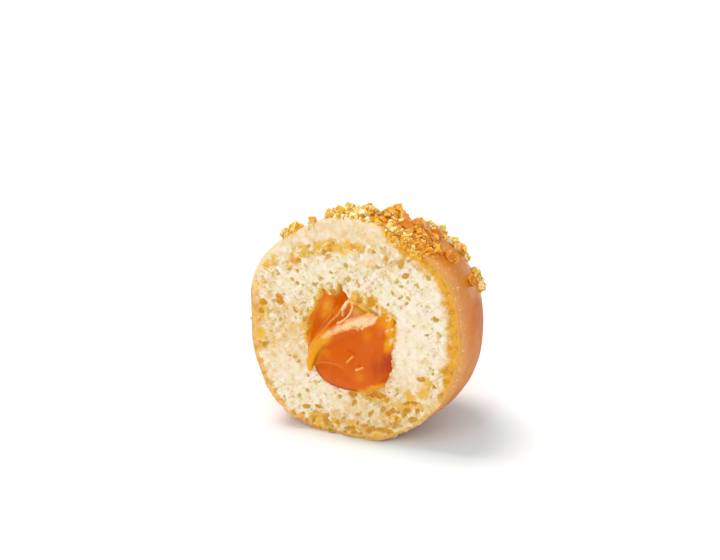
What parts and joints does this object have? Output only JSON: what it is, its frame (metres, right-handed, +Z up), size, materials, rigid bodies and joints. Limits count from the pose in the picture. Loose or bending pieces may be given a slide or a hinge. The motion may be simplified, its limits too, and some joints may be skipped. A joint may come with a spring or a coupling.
{
  "type": "filled doughnut hole half",
  "caption": "Half of a round glazed doughnut hole, cut across to show pale crumb and a caramel filling, with coarse golden sugar on top.",
  "frame": {"origin": "on the table, in the middle of the flat that the half rests on", "axes": "+Z up; the cut face looks along -Y and leans back a little; +X is to the right as one faces the cut"},
  "size_m": [0.0394, 0.0296, 0.0388],
  "materials": {
    "dough": "fried dough with a thin glaze",
    "crumb": "soft open crumb",
    "sugar": "clear amber crystals",
    "caramel": "wet and glossy"
  },
  "bodies": {
    "root": {"dough_half": "dough", "caramel_filling": "caramel"}
  },
  "joints": []
}
